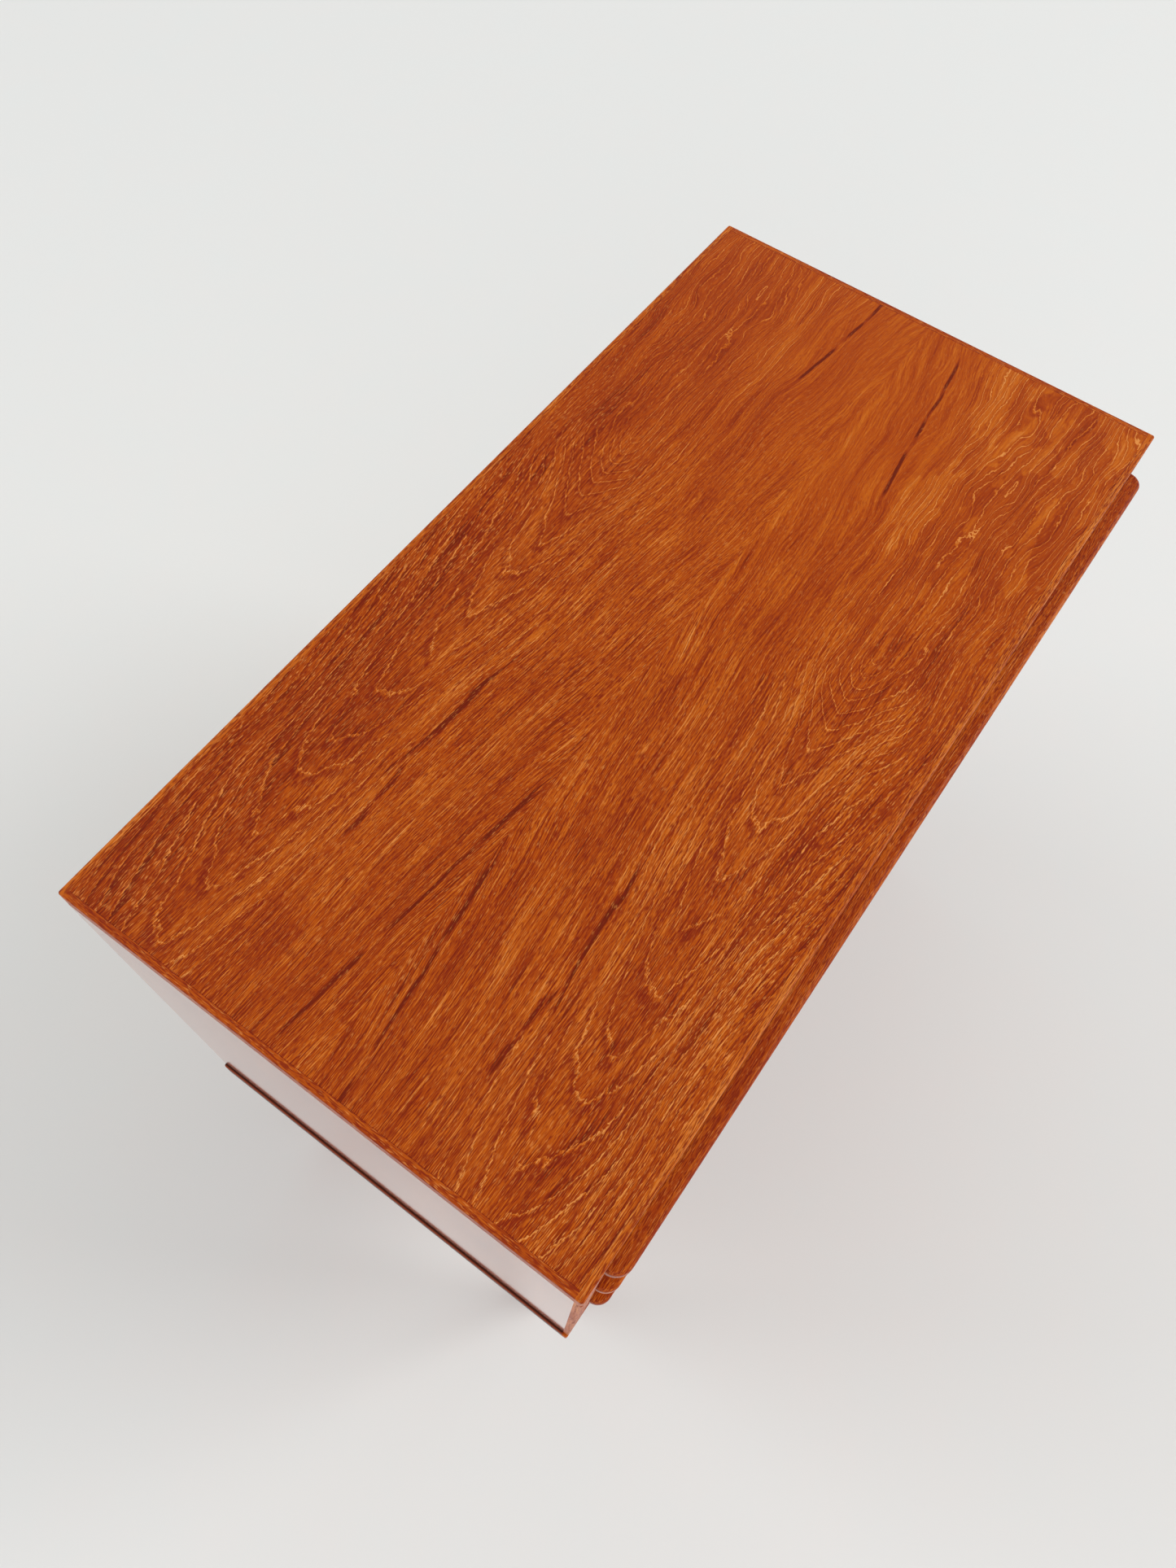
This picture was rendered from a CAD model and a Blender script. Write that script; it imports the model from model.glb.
"""The looks of the sewing table: teak, beech, plywood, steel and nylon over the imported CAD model."""

import math

import bpy
from mathutils import Matrix, Vector


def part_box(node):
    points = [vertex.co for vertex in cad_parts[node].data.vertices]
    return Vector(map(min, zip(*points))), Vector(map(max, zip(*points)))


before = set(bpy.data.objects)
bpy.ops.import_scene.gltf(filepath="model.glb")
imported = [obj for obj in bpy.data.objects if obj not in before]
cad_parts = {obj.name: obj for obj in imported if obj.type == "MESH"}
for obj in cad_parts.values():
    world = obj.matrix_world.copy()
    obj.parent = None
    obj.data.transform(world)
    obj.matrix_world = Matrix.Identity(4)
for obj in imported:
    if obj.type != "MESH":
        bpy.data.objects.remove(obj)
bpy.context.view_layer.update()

MM = 1000.0  # millimetres in a metre: grain is drawn in millimetres

# Colours, linear
TEAK_DARK = (0.150, 0.0130, 0.0015)
TEAK_RED = (0.325, 0.0390, 0.0018)
TEAK_MID = (0.430, 0.0700, 0.0026)
TEAK_LIGHT = (0.550, 0.1230, 0.0060)
TEAK_FLECK = (0.740, 0.2700, 0.0600)
TEAK_PORE = (0.205, 0.0125, 0.0018)
STAIN_DARK = (0.026, 0.004, 0.002)
STAIN_MID = (0.070, 0.012, 0.006)
STAIN_WORN = (0.280, 0.055, 0.020)
BEECH = ((0.36, 0.20, 0.095), (0.57, 0.345, 0.17), (0.66, 0.45, 0.27))  # dark, middle, light
PLYWOOD = ((0.42, 0.25, 0.12), (0.58, 0.38, 0.20), (0.70, 0.50, 0.31))
STEEL = (0.50, 0.49, 0.47)
STEEL_DULL = (0.36, 0.34, 0.31)
NYLON = (0.030, 0.026, 0.022)
NYLON_SCUFFED = (0.10, 0.09, 0.08)
FLOOR = (0.81, 0.83, 0.82)
FLOOR_WARM = (0.83, 0.825, 0.81)

# Places of the teak's colours on its scale of tones, from 0, dark, to 1, light
TEAK_TONES = (
    (0.00, TEAK_DARK),
    (0.28, TEAK_RED),
    (0.50, TEAK_MID),
    (0.74, TEAK_LIGHT),
    (1.00, TEAK_FLECK),
)
TEAK_MIDDLE = 0.48

# Gloss: how strongly each wood mirrors, and the lacquer coat of the sides
SHINE_TOP = 0.10
SHINE_TEAK = 0.12
SHINE_MATT_TEAK = 0.04
SHINE_STAIN = 0.15
COAT_ROUGHNESS = 0.07
COAT_IOR = 1.25
PRINT_THROUGH = 0.01  # share of the wood's relief that shows in the coat's surface

# Relief of each surface, in metres
TEAK_RELIEF = 0.00004
STAIN_RELIEF = 0.00003
PALE_WOOD_RELIEF = 0.00005
STEEL_RELIEF = 0.00002
NYLON_RELIEF = 0.00004
FLOOR_RELIEF = 0.0001

# Veneer of the top board, in millimetres: two leaves opened like a book along the seam
top_low, top_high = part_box("top_panel")
SEAM_Y = MM * (top_low.y + top_high.y) / 2
SLIP = 50.0  # how far the front leaf's figure lies to the left of the back leaf's
CROWN = 102.0  # the cathedral's middle line, from the seam
RING = 4.0  # width of one growth ring in straight grain
FAN = 0.12  # slope of the grain towards the seam, at the seam
BACK_FLAME = 0.35  # how vivid the back leaf's flame is against the front one's
LEAF_GAP = 7.3  # how far apart in the wood the two leaves' fine grain is taken
ROUNDNESS = 1.6  # 1 for pointed cathedrals, 2 for round ones
CUT = (-320.0, 120.0, 56.0, 2.0)  # from and to along a leaf, and the cut's depth into the tree there
KNEE = 16.0  # a steeper fall of that depth, where the rings' points lie close together

# Soft edges of a leaf's regions: from where a region is absent to where it is whole
ALONG_FLAME = (-40.0, 260.0)
ACROSS_FLAME = (22.0, 66.0)
ALONG_KNEE = (115.0, 35.0)
ALONG_NEST = ((15.0, 45.0), (150.0, 110.0))
OFF_CROWN = (62.0, 22.0)
ACROSS_MARGIN = (104.0, 132.0)
ALONG_STRIPES = (140.0, -60.0)
ALONG_DARK_MARGIN = (200.0, -120.0)
ACROSS_DARK_MARGIN = (78.0, 136.0)

# Each mineral line: its two ends on a leaf (along, from the seam), and its width
MINERAL_LINES = (
    ((-300.0, 25.0), (-95.0, 1.0), 1.3),
    ((185.0, 46.0), (345.0, 28.0), 1.5),
    ((-215.0, 66.0), (-70.0, 64.0), 2.0),
    ((-180.0, 74.0), (-40.0, 58.0), 1.2),
)
MINERAL_SWAY = 8.0
MINERAL_FADE = 30.0  # length of each end's fade
GLUE_LINE = (0.50, 0.20)  # soft edge of the glue line, from the board's own edge

# How far each feature of the veneer moves its tone
TONE_DRIFT = 0.55
TONE_BAND = 0.45
TONE_STREAK = 0.55
TONE_WIDE = 0.62
TONE_FINE = 1.95
TONE_EDGE = 0.38
TONE_SHADE = -0.15
TONE_FALL = 0.20
TONE_ISLAND = 0.19
TONE_STRIPES = 0.38
TONE_DARK_MARGIN = -0.17
TONE_MINERAL = -0.60
TONE_GLUE = -0.35

# Studio, in metres and watts
FLOOR_SIZE = 14.0
LIGHT_AIM = (0.0, 0.0, 0.4)
LIGHT_SIZE = 5.0
LIGHTS = (
    ("key", (5.0, -6.0, 6.4), 380.0, (1.0, 1.0, 0.99)),
    ("fill", (-6.0, -3.4, 5.6), 90.0, (0.98, 0.99, 1.0)),
    ("back", (-3.0, 7.0, 6.4), 170.0, (1.0, 1.0, 1.0)),
)
HORIZON = (0.10, (0.90, 0.90, 0.89, 1.0))  # height on the surround, and its colour
OVERHEAD = (0.65, (0.55, 0.55, 0.55, 1.0))

# Camera: its place and its aim, from the front left corner of the top
CAMERA_PLACE = (-0.0327, -0.0045, 0.5337)
CAMERA_AIM = (0.1988, 0.1397, 0.0)
CAMERA_ROLL = 4.155  # degrees
CAMERA_LENS = 27.06
CAMERA_SENSOR = 36.0
CAMERA_NEAREST = 0.01


class Graph:
    """Short calls that add nodes to one material. A value is a number, a colour or another node's output."""

    def __init__(self, name):
        self.material = bpy.data.materials.new(name)
        self.material.use_nodes = True
        self.tree = self.material.node_tree
        self.tree.nodes.clear()

    def fill(self, socket, value):
        """Set a socket to a value, or link it to another node's output."""
        if isinstance(value, bpy.types.NodeSocket):
            self.tree.links.new(value, socket)
        elif socket.type == "RGBA":
            socket.default_value = (*value, 1.0)
        else:
            socket.default_value = value

    def add(self, kind, values=(), **settings):
        """Add a node, set its properties, and fill its inputs, given by number or by name."""
        node = self.tree.nodes.new(kind)
        for key, value in settings.items():
            setattr(node, key, value)
        for key, value in dict(values).items():
            self.fill(node.inputs[key], value)
        return node

    def math(self, operation, a, b=0.0, c=0.0):
        """Return a math node's output."""
        return self.add("ShaderNodeMath", {0: a, 1: b, 2: c}, operation=operation).outputs[0]

    def plus(self, a, b):
        """Return a sum."""
        return self.math("ADD", a, b)

    def minus(self, a, b):
        """Return a difference."""
        return self.math("SUBTRACT", a, b)

    def times(self, a, b):
        """Return a product."""
        return self.math("MULTIPLY", a, b)

    def swing(self, value, size):
        """Return a noise's swing about its own middle, times a size."""
        return self.times(self.minus(value, 0.5), size)

    def fade(self, value, start, end):
        """Return 0 at start, 1 at end, and a smooth step between. End may be the lower of the two."""
        low, high = (0.0, 1.0) if start < end else (1.0, 0.0)
        return self.add(
            "ShaderNodeMapRange",
            {0: value, 1: min(start, end), 2: max(start, end), 3: low, 4: high},
            interpolation_type="SMOOTHSTEP",
        ).outputs[0]

    def mix(self, share, a, b):
        """Return colour a with that share of colour b."""
        node = self.add("ShaderNodeMix", {0: share, 6: a, 7: b}, data_type="RGBA")
        return node.outputs[2]

    def noise(self, x, y, z, detail=2.0, roughness=0.5):
        """Return smooth noise around 0.5. Its coordinates are already divided by the noise's size."""
        point = self.add("ShaderNodeCombineXYZ", {0: x, 1: y, 2: z}).outputs[0]
        return self.add(
            "ShaderNodeTexNoise",
            {"Vector": point, "Scale": 1.0, "Detail": detail, "Roughness": roughness},
        ).outputs["Fac"]

    def over(self, value, size):
        """Return a length divided by a size."""
        return self.times(value, 1.0 / size)

    def sheet(self, along, across, length, width, layer, detail=2.0, roughness=0.5):
        """Return noise on one layer of a sheet, of that length and width in millimetres."""
        return self.noise(self.over(along, length), self.over(across, width), layer, detail, roughness)

    def streaks(self, wood, length, width, depth, detail=2.0, roughness=0.5):
        """Return noise in solid wood, of that length, width and depth in millimetres."""
        along, across, deep = wood
        return self.sheet(along, across, length, width, self.over(deep, depth), detail, roughness)

    def place(self):
        """Return the three coordinates of the point on the piece, in millimetres."""
        source = self.add("ShaderNodeTexCoord").outputs["Object"]
        parts = self.add("ShaderNodeSeparateXYZ", {0: source})
        return [self.times(part, MM) for part in parts.outputs]

    def bump(self, height, depth):
        """Return the normal of a relief of that depth in metres."""
        return self.add("ShaderNodeBump", {"Height": height, "Distance": depth, "Strength": 1.0}).outputs[0]

    def surface(self, colour, roughness, height, depth, shine=0.5, coat=0.0, metallic=0.0):
        """Close the material with a principled shader and a relief of that depth in metres."""
        shader = self.add(
            "ShaderNodeBsdfPrincipled",
            {
                "Base Color": colour,
                "Roughness": roughness,
                "Normal": self.bump(height, depth),
                "Specular IOR Level": shine,
                "Coat Weight": coat,
                "Coat Roughness": COAT_ROUGHNESS,
                "Coat IOR": COAT_IOR,
                "Coat Normal": self.bump(height, PRINT_THROUGH * depth),
                "Metallic": metallic,
            },
        )
        self.add("ShaderNodeOutputMaterial", {0: shader.outputs[0]})
        return self.material


def grain_axes(graph, axis, seed):
    """Return the place along the grain, across it and into the wood, in millimetres, for one seed."""
    x, y, z = graph.place()
    turned = {"X": (x, y, z), "Y": (y, x, z), "Z": (z, x, y)}[axis]
    shifts = (173.0, 59.0, 31.0)
    return tuple(graph.plus(value, shift * seed) for value, shift in zip(turned, shifts))


def fibre(graph, wood):
    """Return wide streaks of colour and fine streaks of fibre that run along the grain."""
    wide = graph.streaks(wood, length=130.0, width=3.2, depth=3.2, detail=3.0)
    fine = graph.streaks(wood, length=34.0, width=0.72, depth=0.9)
    return wide, fine


def teak_colour(graph, tone):
    """Return the teak's colour for a tone from 0, dark, to 1, light."""
    ramp = graph.add("ShaderNodeValToRGB", {0: tone})
    elements = ramp.color_ramp.elements
    for position, _ in TEAK_TONES[2:]:
        elements.new(position)
    for element, (position, colour) in zip(elements, TEAK_TONES):
        element.position = position
        element.color = (*colour, 1.0)
    return ramp.outputs[0]


def rings(graph, depth, wood, line=0.11):
    """Return the growth rings for a depth into the tree: each ring's pale edge line, the shade just behind
    it, and the fall in tone from one edge to the next. The line's width is a share of one ring.
    """
    drift = graph.streaks(wood, length=120.0, width=26.0, depth=26.0)
    fray = graph.streaks(wood, length=3.4, width=2.4, depth=2.4, roughness=0.6)
    turns = graph.plus(graph.over(depth, RING), graph.swing(drift, 2.6))
    turns = graph.plus(turns, graph.swing(fray, 0.42))
    place = graph.math("FRACT", turns)
    edge = graph.fade(graph.math("DIVIDE", place, line), 1.0, 0.35)
    shade = graph.times(graph.fade(place, 0.05, 0.14), graph.fade(place, 0.45, 0.14))
    return edge, shade, graph.minus(0.5, place)


def finish_teak(graph, tone, wood, shade, marks=(0.80, 0.55), shine=SHINE_TEAK, coat=0.0):
    """Add pores and flecks to a tone, and close the material as satin teak.

    Marks are how strongly the dark pores and the pale flecks show. Shade crowds the pores together.
    """
    patch = graph.times(graph.streaks(wood, length=60.0, width=13.0, depth=13.0), 0.24)
    crowd = graph.plus(patch, graph.times(shade, 0.12))
    pores = graph.streaks(wood, length=4.8, width=0.52, depth=0.52, detail=1.0)
    pores = graph.fade(graph.plus(pores, crowd), 0.61, 0.78)
    along, across, deep = wood
    elsewhere = (graph.plus(along, 700.0), across, deep)
    flecks = graph.streaks(elsewhere, length=4.2, width=0.52, depth=0.52, detail=1.0)
    flecks = graph.fade(graph.minus(flecks, patch), 0.47, 0.60)
    colour = teak_colour(graph, tone)
    colour = graph.mix(graph.times(pores, marks[0]), colour, TEAK_PORE)
    colour = graph.mix(graph.times(flecks, marks[1]), colour, TEAK_FLECK)
    height = graph.minus(graph.times(tone, 0.35), pores)
    roughness = graph.plus(0.30, graph.times(pores, 0.16))
    return graph.surface(colour, roughness, height, TEAK_RELIEF, shine=shine, coat=coat)


def solid_teak(name, axis, seed, lightness=0.0, figure=1.0, coat=0.0, shine=SHINE_TEAK):
    """Solid or plain-sawn teak with straight grain. Figure is how strongly its bands and rings show."""
    graph = Graph(name)
    wood = grain_axes(graph, axis, seed)
    along, across, deep = wood
    bend = graph.streaks(wood, length=260.0, width=60.0, depth=60.0, detail=1.0)
    bent = (along, graph.plus(across, graph.times(bend, 26.0 * figure)), deep)
    band = graph.streaks(bent, length=160.0, width=9.0, depth=9.0)
    wide, fine = fibre(graph, bent)
    edge, shade, fall = rings(graph, graph.plus(bent[1], deep), wood)
    tone = TEAK_MIDDLE + lightness
    for value, size in ((band, 0.7 * figure), (wide, 0.7 * figure), (fine, 1.1)):
        tone = graph.plus(tone, graph.swing(value, size))
    for part, weight in ((edge, 0.05), (shade, -0.08), (fall, 0.08)):
        tone = graph.plus(tone, graph.times(part, weight * figure))
    return finish_teak(graph, tone, bent, shade, shine=shine, coat=coat)


# The top board's veneer


def leaf_place(graph):
    """Return the place on one leaf: along the grain, from the seam, and 1 on the front leaf."""
    x, y, _ = graph.place()
    offset = graph.minus(y, SEAM_Y)
    front = graph.math("LESS_THAN", offset, 0.0)
    along = graph.plus(x, graph.times(front, SLIP))
    return along, graph.math("ABSOLUTE", offset), front


def bend_grain(graph, along, across, right):
    """Return the place across a leaf once its grain is bent: gently, and more quickly towards the right."""
    slow = graph.sheet(along, across, length=210.0, width=75.0, layer=0.7, detail=1.0)
    quick = graph.sheet(along, across, length=60.0, width=26.0, layer=4.1, detail=1.0)
    ripple = graph.swing(quick, graph.plus(3.0, graph.times(right, 12.0)))
    return graph.plus(across, graph.plus(graph.swing(slow, 22.0), ripple))


def tree_depth(graph, along, off_crown):
    """Return the depth into the tree, and how squarely a ring's edge is crossed when moving across the grain.

    The log is cut deep at the left end of a leaf and shallow at the right, so that the rings open to the right.
    """
    start, end, deepest, shallowest = CUT
    cut = graph.add(
        "ShaderNodeMapRange", {0: along, 1: start, 2: end, 3: deepest, 4: shallowest}
    ).outputs[0]
    cut = graph.plus(cut, graph.times(graph.fade(along, *ALONG_KNEE), KNEE))
    total = graph.plus(graph.math("POWER", off_crown, ROUNDNESS), graph.math("POWER", cut, ROUNDNESS))
    depth = graph.math("POWER", total, 1.0 / ROUNDNESS)
    square = graph.math("POWER", graph.math("DIVIDE", off_crown, depth), ROUNDNESS - 1.0)
    return depth, square


def ring_clarity(graph, along, across, off_crown, flame):
    """Return how clearly the growth rings show: in patches near the crown, and in the flamed part."""
    figure = graph.sheet(along, across, length=70.0, width=30.0, layer=9.0)
    start, end = ALONG_NEST
    nest = graph.times(graph.fade(along, *start), graph.fade(along, *end))
    clear = graph.math("MAXIMUM", graph.fade(figure, 0.26, 0.46), graph.times(nest, 0.85))
    return graph.times(clear, graph.math("MAXIMUM", graph.fade(off_crown, *OFF_CROWN), flame))


def mineral_line(graph, along, across, start, end, width):
    """Return one thin dark line in the veneer, between two places on a leaf."""
    slope = (end[1] - start[1]) / (end[0] - start[0])
    middle = graph.math("MULTIPLY_ADD", along, slope, start[1] - slope * start[0])
    sway = graph.noise(graph.over(along, 55.0), 0.0, start[0])
    middle = graph.plus(middle, graph.swing(sway, MINERAL_SWAY))
    off = graph.math("ABSOLUTE", graph.minus(across, middle))
    ends = graph.times(
        graph.fade(along, start[0], start[0] + MINERAL_FADE),
        graph.fade(along, end[0], end[0] - MINERAL_FADE),
    )
    broken = graph.fade(graph.noise(graph.over(along, 30.0), 3.0, start[1]), 0.32, 0.56)
    return graph.times(graph.fade(off, width, 0.35 * width), graph.times(ends, broken))


def glue_line(graph):
    """Return 1 in the hair line of glue where the top board meets its lippings, and 0 elsewhere."""
    x, y, _ = graph.place()
    nearest = graph.minus(x, MM * top_low.x)
    for gap in (
        graph.minus(MM * top_high.x, x),
        graph.minus(y, MM * top_low.y),
        graph.minus(MM * top_high.y, y),
    ):
        nearest = graph.math("MINIMUM", nearest, gap)
    return graph.fade(nearest, *GLUE_LINE)


def dark_margin(graph, along, across, front):
    """Return the redder, darker wood at the left of the back leaf, along its outer edge."""
    left_back = graph.times(graph.fade(along, *ALONG_DARK_MARGIN), graph.minus(1.0, front))
    return graph.times(graph.fade(across, *ACROSS_DARK_MARGIN), left_back)


def book_matched_teak():
    """The top board's veneer: a cathedral in each leaf, straight grain at the seam, flame at the right."""
    graph = Graph("teak_top_veneer")
    along, across, front = leaf_place(graph)
    right = graph.fade(along, *ALONG_FLAME)
    flame = graph.times(right, graph.fade(across, *ACROSS_FLAME))
    bent = bend_grain(graph, along, across, right)
    off_crown = graph.math("ABSOLUTE", graph.minus(bent, CROWN))
    depth, square = tree_depth(graph, along, off_crown)
    swirl = graph.sheet(along, across, length=58.0, width=24.0, layer=3.3)
    depth = graph.plus(depth, graph.swing(swirl, graph.times(flame, 22.0)))
    line = graph.plus(0.045, graph.times(square, 0.085))
    edge, shade, fall = rings(graph, depth, (along, across, 0.0), line)
    vivid = graph.times(flame, graph.plus(BACK_FLAME, graph.times(front, 1.0 - BACK_FLAME)))
    dull = graph.times(square, graph.minus(0.50, graph.times(vivid, 0.40)))
    edge = graph.times(edge, graph.minus(1.0, dull))
    bold = ring_clarity(graph, along, across, off_crown, flame)

    # Straight grain, which fans out from the seam and calms down towards the right
    lean = graph.times(along, graph.minus(FAN, graph.times(bent, FAN / CROWN)))
    leaf = graph.times(front, LEAF_GAP)
    wood = (along, graph.plus(bent, lean), leaf)
    calm = graph.minus(1.0, graph.times(right, 0.72))
    wide, fine = fibre(graph, wood)
    drift = graph.sheet(along, across, length=170.0, width=60.0, layer=5.5, detail=1.0)
    band = graph.sheet(along, depth, length=200.0, width=8.0, layer=2.0)
    streak = graph.sheet(along, depth, length=90.0, width=1.5, layer=leaf, detail=3.0, roughness=0.6)
    island = graph.sheet(along, across, length=44.0, width=17.0, layer=6.2, detail=4.0, roughness=0.6)
    margin = graph.fade(across, *ACROSS_MARGIN)

    tone = TEAK_MIDDLE
    for value, size in (
        (drift, TONE_DRIFT),
        (band, TONE_BAND),
        (streak, TONE_STREAK),
        (wide, TONE_WIDE),
        (fine, graph.times(calm, TONE_FINE)),
    ):
        tone = graph.plus(tone, graph.swing(value, size))
    features = [
        (graph.times(edge, bold), TONE_EDGE),
        (graph.times(shade, bold), TONE_SHADE),
        (graph.times(fall, bold), TONE_FALL),
        (graph.times(vivid, graph.fade(island, 0.50, 0.54)), TONE_ISLAND),
        (graph.times(fall, graph.times(margin, graph.fade(along, *ALONG_STRIPES))), TONE_STRIPES),
        (dark_margin(graph, along, across, front), TONE_DARK_MARGIN),
        (glue_line(graph), TONE_GLUE),
    ]
    for start, end, width in MINERAL_LINES:
        features.append((mineral_line(graph, along, across, start, end, width), TONE_MINERAL))
    for feature, weight in features:
        tone = graph.plus(tone, graph.times(feature, weight))
    pores = graph.times(calm, 0.82)
    flecks = graph.times(calm, graph.plus(0.55, graph.times(margin, 0.30)))
    return finish_teak(graph, tone, wood, graph.times(shade, bold), (pores, flecks), SHINE_TOP)


# The other materials


def stained_wood(node, seed):
    """The dark stained edge of the bottom board, worn to the wood along its upper arris."""
    graph = Graph("stained_" + node)
    wide, fine = fibre(graph, grain_axes(graph, "Y", seed))
    colour = graph.mix(graph.times(wide, fine), STAIN_DARK, STAIN_MID)
    x, _, z = graph.place()
    low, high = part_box(node)
    outermost = MM * max(abs(low.x), abs(high.x))
    inward = graph.minus(outermost, graph.math("ABSOLUTE", x))
    downward = graph.minus(MM * high.z, z)
    worn = graph.times(graph.fade(graph.plus(inward, downward), 1.6, 0.6), graph.fade(wide, 0.20, 0.45))
    colour = graph.mix(worn, colour, STAIN_WORN)
    return graph.surface(colour, 0.36, fine, STAIN_RELIEF, shine=SHINE_STAIN)


def pale_wood(name, axis, seed, colours, fleck_length):
    """Beech or plywood: a plain pale wood with fine streaks and short flecks."""
    graph = Graph(name)
    wood = grain_axes(graph, axis, seed)
    dark, middle, light = colours
    wide, fine = fibre(graph, wood)
    colour = graph.mix(graph.fade(wide, 0.30, 0.70), middle, light)
    flecks = graph.streaks(wood, length=fleck_length, width=0.35, depth=0.35, detail=1.0)
    colour = graph.mix(graph.times(graph.fade(flecks, 0.60, 0.72), 0.55), colour, dark)
    colour = graph.mix(graph.times(graph.fade(fine, 0.62, 0.40), 0.25), colour, dark)
    roughness = graph.plus(0.48, graph.times(fine, 0.16))
    return graph.surface(colour, roughness, fine, PALE_WOOD_RELIEF)


def plated_steel():
    """Bright screws with fine turning marks."""
    graph = Graph("plated_steel")
    marks = graph.streaks(graph.place(), length=0.5, width=0.5, depth=0.5)
    tint = graph.mix(graph.fade(marks, 0.35, 0.70), STEEL, STEEL_DULL)
    roughness = graph.plus(0.18, graph.times(marks, 0.25))
    return graph.surface(tint, roughness, marks, STEEL_RELIEF, metallic=1.0)


def nylon():
    """Dark glides with a scuffed, finely moulded surface."""
    graph = Graph("nylon_glide")
    grit = graph.streaks(graph.place(), length=0.7, width=0.7, depth=0.7, detail=3.0)
    tint = graph.mix(graph.fade(grit, 0.45, 0.75), NYLON, NYLON_SCUFFED)
    roughness = graph.plus(0.35, graph.times(grit, 0.3))
    return graph.surface(tint, roughness, grit, NYLON_RELIEF)


# Which piece has which material. Each piece has wood of its own, picked by the seed.


def dress(node, material):
    """Give a CAD node its material."""
    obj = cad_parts[node]
    obj.data.materials.clear()
    obj.data.materials.append(material)


def dress_boards():
    """The top, the sides, the bottom board and their lippings."""
    dress("top_panel", book_matched_teak())
    for node in ("top_lipping_front", "top_lipping_back", "bottom_lipping_front"):
        dress(node, solid_teak("teak_" + node, "X", len(node) / 7.0, lightness=0.18, figure=0.6))
    for node in ("top_lipping_left", "top_lipping_right"):
        dress(node, solid_teak("teak_" + node, "Y", len(node) / 5.0, lightness=-0.02, figure=0.4))
    for node in ("side_panel_left", "side_panel_right"):
        dress(node, solid_teak("teak_" + node, "Z", len(node) / 3.0, lightness=0.04, coat=1.0))
    for node in ("side_lipping_left", "side_lipping_right"):
        teak = solid_teak("teak_" + node, "Z", len(node) / 3.0, lightness=0.16, shine=SHINE_MATT_TEAK)
        dress(node, teak)
    dress("bottom_panel", solid_teak("teak_bottom_panel", "X", 1.7))
    for column, node in enumerate(("bottom_edge_left", "bottom_edge_right")):
        dress(node, stained_wood(node, 3.0 + column))


def dress_base():
    """The legs and the rails between them."""
    for row, end in enumerate(("front", "back")):
        dress(f"rail_{end}", solid_teak(f"teak_rail_{end}", "X", 4.1 + row))
        for column, side in enumerate(("left", "right")):
            dress(f"leg_{end}_{side}", solid_teak(f"teak_leg_{end}_{side}", "Z", 6.0 + 2 * row + column))
    for column, side in enumerate(("left", "right")):
        dress(f"rail_{side}", solid_teak(f"teak_rail_{side}", "Y", 8.3 + column))


def dress_drawers():
    """Drawer fronts and lips of teak around boxes of beech and plywood. The fronts are cut from one board."""
    front = solid_teak("teak_drawer_fronts", "X", 2.4, lightness=0.02)
    for row, name in enumerate(("lower", "middle", "upper")):
        drawer = f"drawer_{name}"
        dress(f"{drawer}_front", front)
        dress(f"{drawer}_lip", solid_teak(f"teak_{drawer}_lip", "X", 9.6 + row, lightness=0.04))
        for side in ("left", "right"):
            dress(f"{drawer}_side_{side}", pale_wood(f"beech_{drawer}_{side}", "Y", row + 1.3, BEECH, 2.6))
        dress(f"{drawer}_back", pale_wood(f"beech_{drawer}_back", "X", row + 5.2, BEECH, 2.6))
        dress(f"{drawer}_bottom", pale_wood(f"ply_{drawer}_bottom", "X", row + 8.1, PLYWOOD, 5.0))


def dress_inner_parts():
    """Runners, dowels, blocks, the back, the sewing fittings, and the metal and nylon parts."""
    runner = pale_wood("beech_runner", "Y", 2.2, BEECH, 2.6)
    upright = pale_wood("beech_upright", "Z", 3.4, BEECH, 2.0)
    fitting = pale_wood("beech_fitting", "Y", 4.7, BEECH, 2.6)
    steel = plated_steel()
    for name in ("lower", "middle", "upper"):
        dress(f"runner_{name}_left", runner)
        dress(f"runner_{name}_right", runner)
        dress(f"drawer_{name}_bottom_screws", steel)
    for node in ("carcass_dowels", "spool_pins", "corner_blocks"):
        dress(node, upright)
    for node in ("divider_left", "divider_right", "spool_board"):
        dress(node, fitting)
    for node in ("runner_screws", "back_panel_screws", "base_screws"):
        dress(node, steel)
    dress("back_panel", pale_wood("ply_back", "X", 6.6, PLYWOOD, 5.0))
    dress("foot_glides", nylon())


# The studio


def floor_material():
    """A plain pale floor with a faint mottle."""
    graph = Graph("pale_floor")
    x, y, _ = graph.place()
    mottle = graph.sheet(x, y, length=60.0, width=60.0, layer=0.0, detail=3.0)
    return graph.surface(graph.mix(mottle, FLOOR, FLOOR_WARM), 0.6, mottle, FLOOR_RELIEF)


def make_floor():
    """A wide plain floor under the feet."""
    bpy.ops.mesh.primitive_plane_add(size=FLOOR_SIZE, location=(0.0, 0.0, 0.0))
    floor = bpy.context.object
    floor.name = "studio_floor"
    floor.data.materials.append(floor_material())


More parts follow.
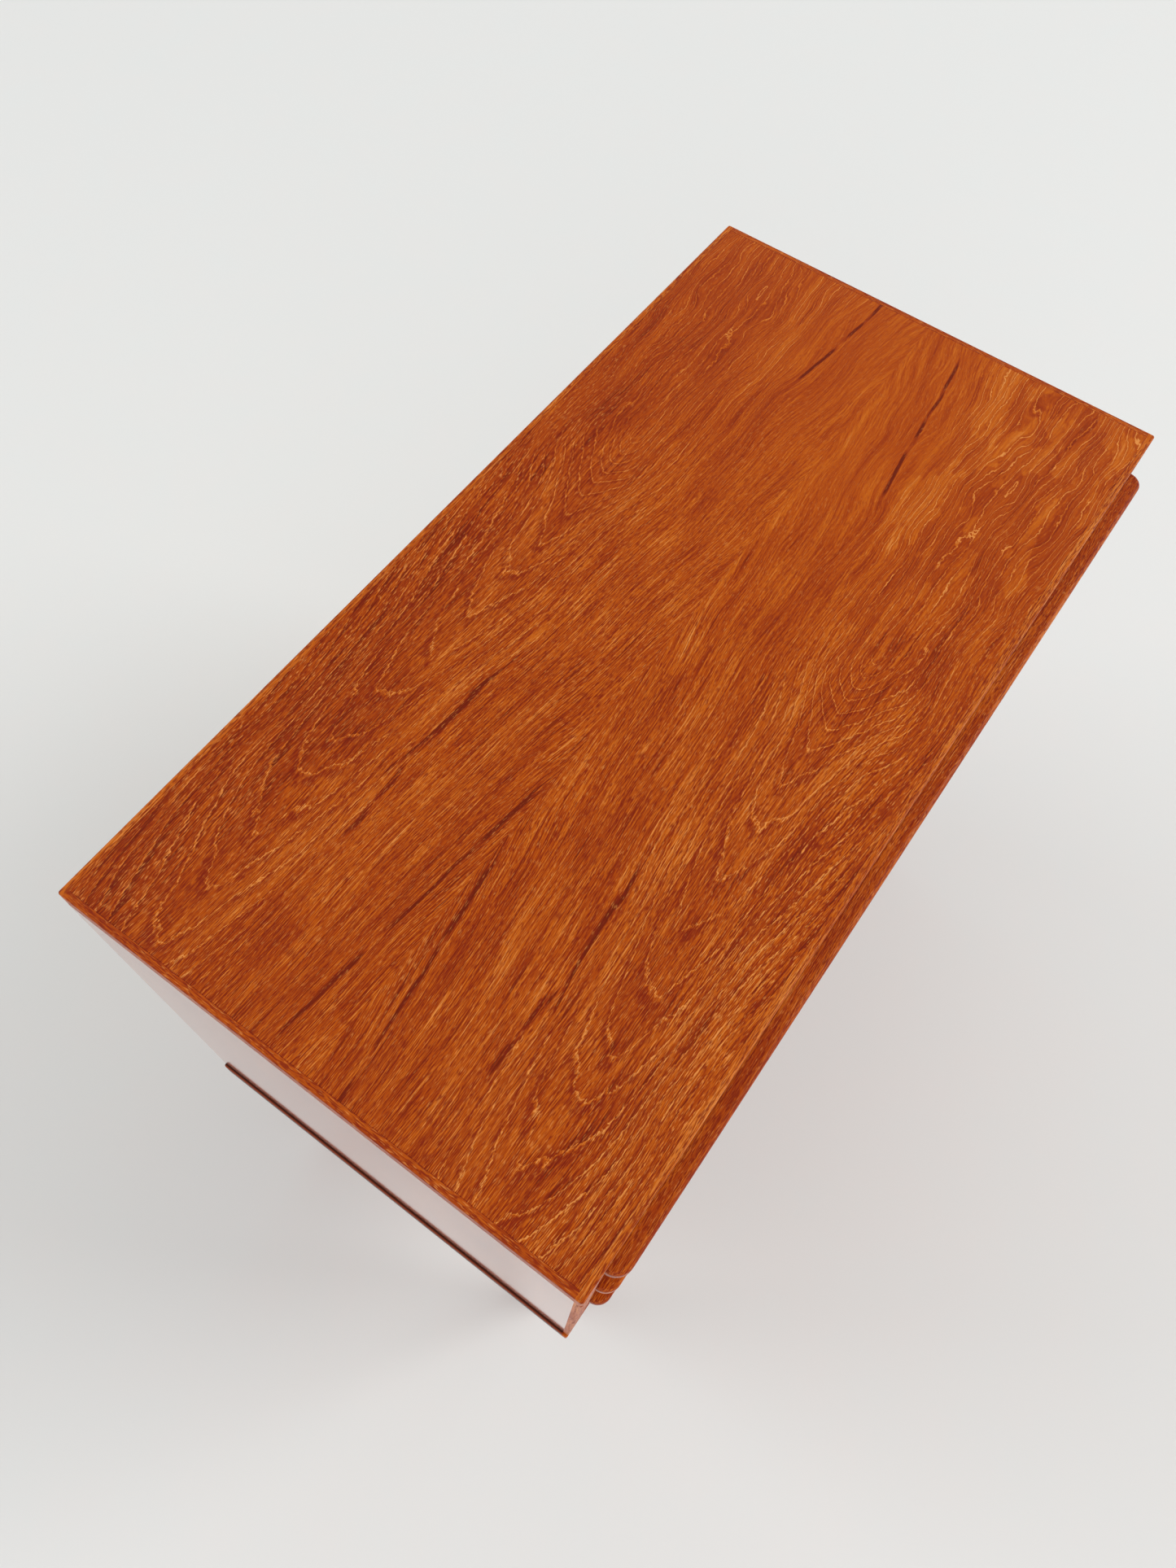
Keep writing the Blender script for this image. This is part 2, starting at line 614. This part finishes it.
def make_light(name, place, power, colour):
    """One soft square studio light, aimed at the table."""
    data = bpy.data.lights.new(name, "AREA")
    data.shape = "SQUARE"
    data.size = LIGHT_SIZE
    data.energy = power
    data.color = colour
    light = bpy.data.objects.new(name, data)
    light.location = place
    light.rotation_euler = (Vector(LIGHT_AIM) - Vector(place)).to_track_quat("-Z", "Y").to_euler()
    bpy.context.scene.collection.objects.link(light)


def make_surround():
    """A surround that is pale at the horizon and dim overhead."""
    world = bpy.data.worlds.new("studio")
    world.use_nodes = True
    tree = world.node_tree
    source = tree.nodes.new("ShaderNodeTexCoord")
    parts = tree.nodes.new("ShaderNodeSeparateXYZ")
    ramp = tree.nodes.new("ShaderNodeValToRGB")
    for element, (position, colour) in zip(ramp.color_ramp.elements, (HORIZON, OVERHEAD)):
        element.position = position
        element.color = colour
    tree.links.new(source.outputs["Generated"], parts.inputs[0])
    tree.links.new(parts.outputs[2], ramp.inputs[0])
    tree.links.new(ramp.outputs[0], tree.nodes["Background"].inputs["Color"])
    bpy.context.scene.world = world


def make_studio():
    """The floor, the surround, and soft light from three sides."""
    make_floor()
    make_surround()
    for light in LIGHTS:
        make_light(*light)
    bpy.context.scene.view_settings.view_transform = "Standard"


def make_camera():
    """A camera above the front left corner of the top, looking down along it."""
    corner = Vector((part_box("top_lipping_left")[0].x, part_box("top_lipping_front")[0].y, top_high.z))
    place = corner + Vector(CAMERA_PLACE)
    aim = corner + Vector(CAMERA_AIM)
    roll = Matrix.Rotation(math.radians(CAMERA_ROLL), 3, "Z")
    turn = (aim - place).to_track_quat("-Z", "Y").to_matrix() @ roll
    data = bpy.data.cameras.new("camera")
    data.lens = CAMERA_LENS
    data.sensor_width = CAMERA_SENSOR
    data.clip_start = CAMERA_NEAREST
    camera = bpy.data.objects.new("camera", data)
    camera.matrix_world = Matrix.Translation(place) @ turn.to_4x4()
    bpy.context.scene.collection.objects.link(camera)
    bpy.context.scene.camera = camera


dress_boards()
dress_base()
dress_drawers()
dress_inner_parts()
make_studio()
make_camera()
